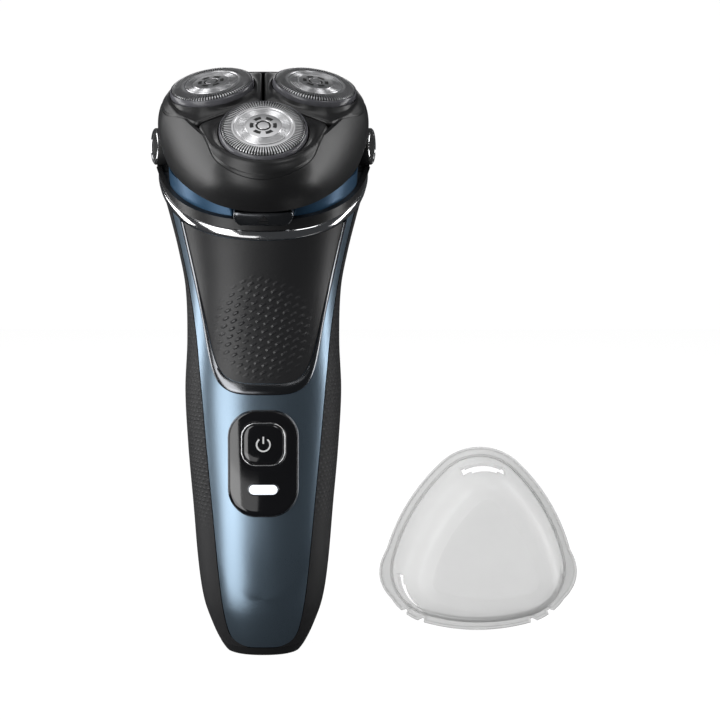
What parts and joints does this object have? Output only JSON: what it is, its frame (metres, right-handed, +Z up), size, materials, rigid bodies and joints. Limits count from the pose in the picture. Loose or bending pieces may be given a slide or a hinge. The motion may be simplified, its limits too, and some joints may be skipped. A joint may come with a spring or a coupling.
{
  "type": "rotary electric shaver",
  "caption": "Cordless rotary shaver: tapered handle, tilted flip-open unit with flexing cutting heads, pop-up trimmer and a loose protective cap.",
  "frame": {"origin": "centre of the flat foot under the handle", "axes": "+Z up along the handle, the front with its button faces -Y, +X to the right seen from the front"},
  "size_m": [0.12, 0.0558, 0.1589],
  "materials": {
    "black_plastic": "satin moulded black plastic",
    "rubber_grip": "matte black rubber with a fine dot texture",
    "panel_texture": "dark grey plastic with a raised dash texture",
    "blue_metallic": "metallic steel-blue lacquer",
    "blue_ring": "deep blue plastic",
    "gloss_black": "glossy black",
    "chrome_trim": "dark polished chrome",
    "guard_steel": "brushed stainless steel",
    "rim_plastic": "smoky grey plastic",
    "steel": "bright steel",
    "inner_plastic": "natural white nylon",
    "battery_wrap": "shrink-wrapped cell",
    "board_green": "solder-masked board",
    "light_white": "lit white lens",
    "cap_clear": "frosted translucent plastic",
    "seal_rubber": "soft black gasket"
  },
  "bodies": {
    "handset": {"base_cap": "black_plastic", "front_housing": "black_plastic", "rear_housing": "black_plastic", "housing_seal": "seal_rubber", "front_faceplate": "blue_metallic", "panel_trim": "chrome_trim", "front_grip_panel": "panel_texture", "left_grip": "rubber_grip", "right_grip": "rubber_grip", "rear_panel": "black_plastic", "collar_band": "chrome_trim", "collar_ring": "gloss_black", "hinge_pin": "steel", "coupling_ring": "blue_ring", "drive_cover": "inner_plastic", "gear_plate": "inner_plastic", "motor_can": "steel", "motor_screws": "steel", "battery_cell": "battery_wrap", "battery_contacts": "steel", "circuit_board": "board_green", "tactile_switch": "inner_plastic", "button_bezel": "gloss_black", "button_ring": "chrome_trim", "led_lens": "light_white", "light_guide": "inner_plastic", "charging_socket": "inner_plastic", "socket_pins": "steel", "release_spring": "steel", "trimmer_pin": "steel"},
    "motor_rotor": {"drive_pinion": "inner_plastic"},
    "shaving_unit": {"head_frame": "black_plastic", "hair_chamber": "inner_plastic", "left_pivot_cap": "black_plastic", "right_pivot_cap": "black_plastic"},
    "power_button": {"power_button": "gloss_black"},
    "release_button": {"release_button": "chrome_trim"},
    "trimmer": {"trimmer_arm": "black_plastic", "trimmer_comb": "steel"},
    "trimmer_blade": {"trimmer_blade": "steel"},
    "trimmer_switch": {"trimmer_switch": "black_plastic"},
    "cap": {"protective_cap": "cap_clear"},
    "front_gear": {"front_spindle_gear": "inner_plastic"},
    "front_spindle": {"front_drive_spindle": "steel"},
    "front_head": {"front_head_holder": "black_plastic", "front_guard_rim": "rim_plastic", "front_guard": "guard_steel"},
    "front_cutter": {"front_cutter": "steel"},
    "left_gear": {"left_spindle_gear": "inner_plastic"},
    "left_spindle": {"left_drive_spindle": "steel"},
    "left_head": {"left_head_holder": "black_plastic", "left_guard_rim": "rim_plastic", "left_guard": "guard_steel"},
    "left_cutter": {"left_cutter": "steel"},
    "right_gear": {"right_spindle_gear": "inner_plastic"},
    "right_spindle": {"right_drive_spindle": "steel"},
    "right_head": {"right_head_holder": "black_plastic", "right_guard_rim": "rim_plastic", "right_guard": "guard_steel"},
    "right_cutter": {"right_cutter": "steel"}
  },
  "joints": [
    {"name": "motor_spin", "type": "hinge", "parent": "handset", "child": "motor_rotor", "pos_m": [0, -0.00152, 0.1266], "axis": [0, -0.5402, 0.8415], "continuous": true},
    {"name": "unit_open", "type": "hinge", "parent": "handset", "child": "shaving_unit", "pos_m": [0, 0.01461, 0.1448], "axis": [-1, 0, 0], "range_deg": [0, 95]},
    {"name": "power_press", "type": "slide", "parent": "handset", "child": "power_button", "axis": [0, 1, 0], "range_m": [0, 0.00045], "stiffness_N_per_m": 3000},
    {"name": "release_press", "type": "slide", "parent": "handset", "child": "release_button", "axis": [0, 0.8415, 0.5402], "range_m": [0, 0.001], "stiffness_N_per_m": 2500},
    {"name": "trimmer_pop", "type": "hinge", "parent": "handset", "child": "trimmer", "pos_m": [0, 0.0148, 0.0792], "axis": [-1, 0, 0], "range_deg": [0, 55]},
    {"name": "trimmer_cut", "type": "slide", "parent": "trimmer", "child": "trimmer_blade", "axis": [1, 0, 0], "range_m": [-0.0009, 0.0009]},
    {"name": "switch_slide", "type": "slide", "parent": "handset", "child": "trimmer_switch", "axis": [0, 0, -1], "range_m": [0, 0.003]},
    {"name": "cap_lift", "type": "slide", "parent": "handset", "child": "cap", "axis": [0, 0, 1], "range_m": [0, 0.08]},
    {"name": "front_gear_spin", "type": "hinge", "parent": "handset", "child": "front_gear", "pos_m": [0, -0.01111, 0.12044], "axis": [0, -0.5402, 0.8415], "continuous": true},
    {"name": "front_spindle_spin", "type": "hinge", "parent": "handset", "child": "front_spindle", "pos_m": [0, -0.01252, 0.12263], "axis": [0, -0.6782, 0.7349], "continuous": true},
    {"name": "front_head_flex", "type": "hinge", "parent": "shaving_unit", "child": "front_head", "pos_m": [0, -0.0254, 0.13659], "axis": [1, 0, 0], "range_deg": [-3, 3], "stiffness_Nm_per_rad": 0.2},
    {"name": "front_cutter_spin", "type": "hinge", "parent": "front_head", "child": "front_cutter", "pos_m": [0, -0.01252, 0.12263], "axis": [0, -0.6782, 0.7349], "continuous": true},
    {"name": "left_gear_spin", "type": "hinge", "parent": "handset", "child": "left_gear", "pos_m": [-0.00987, 0.00328, 0.12968], "axis": [0, -0.5402, 0.8415], "continuous": true},
    {"name": "left_spindle_spin", "type": "hinge", "parent": "handset", "child": "left_spindle", "pos_m": [-0.00987, 0.00187, 0.13187], "axis": [-0.1504, -0.459, 0.8756], "continuous": true},
    {"name": "left_head_flex", "type": "hinge", "parent": "shaving_unit", "child": "left_head", "pos_m": [-0.01273, -0.00685, 0.14851], "axis": [-0.5, -0.7288, -0.4679], "range_deg": [-3, 3], "stiffness_Nm_per_rad": 0.2},
    {"name": "left_cutter_spin", "type": "hinge", "parent": "left_head", "child": "left_cutter", "pos_m": [-0.00987, 0.00187, 0.13187], "axis": [-0.1504, -0.459, 0.8756], "continuous": true},
    {"name": "right_gear_spin", "type": "hinge", "parent": "handset", "child": "right_gear", "pos_m": [0.00987, 0.00328, 0.12968], "axis": [0, -0.5402, 0.8415], "continuous": true},
    {"name": "right_spindle_spin", "type": "hinge", "parent": "handset", "child": "right_spindle", "pos_m": [0.00987, 0.00187, 0.13187], "axis": [0.1504, -0.459, 0.8756], "continuous": true},
    {"name": "right_head_flex", "type": "hinge", "parent": "shaving_unit", "child": "right_head", "pos_m": [0.01273, -0.00685, 0.14851], "axis": [-0.5, 0.7288, 0.4679], "range_deg": [-3, 3], "stiffness_Nm_per_rad": 0.2},
    {"name": "right_cutter_spin", "type": "hinge", "parent": "right_head", "child": "right_cutter", "pos_m": [0.00987, 0.00187, 0.13187], "axis": [0.1504, -0.459, 0.8756], "continuous": true}
  ],
  "couplings": [
    {"joint": "front_gear_spin", "follows": "motor_spin", "ratio": -0.26667},
    {"joint": "front_spindle_spin", "follows": "motor_spin", "ratio": -0.26667},
    {"joint": "front_cutter_spin", "follows": "motor_spin", "ratio": -0.26667},
    {"joint": "left_gear_spin", "follows": "motor_spin", "ratio": -0.26667},
    {"joint": "left_spindle_spin", "follows": "motor_spin", "ratio": -0.26667},
    {"joint": "left_cutter_spin", "follows": "motor_spin", "ratio": -0.26667},
    {"joint": "right_gear_spin", "follows": "motor_spin", "ratio": -0.26667},
    {"joint": "right_spindle_spin", "follows": "motor_spin", "ratio": -0.26667},
    {"joint": "right_cutter_spin", "follows": "motor_spin", "ratio": -0.26667}
  ]
}
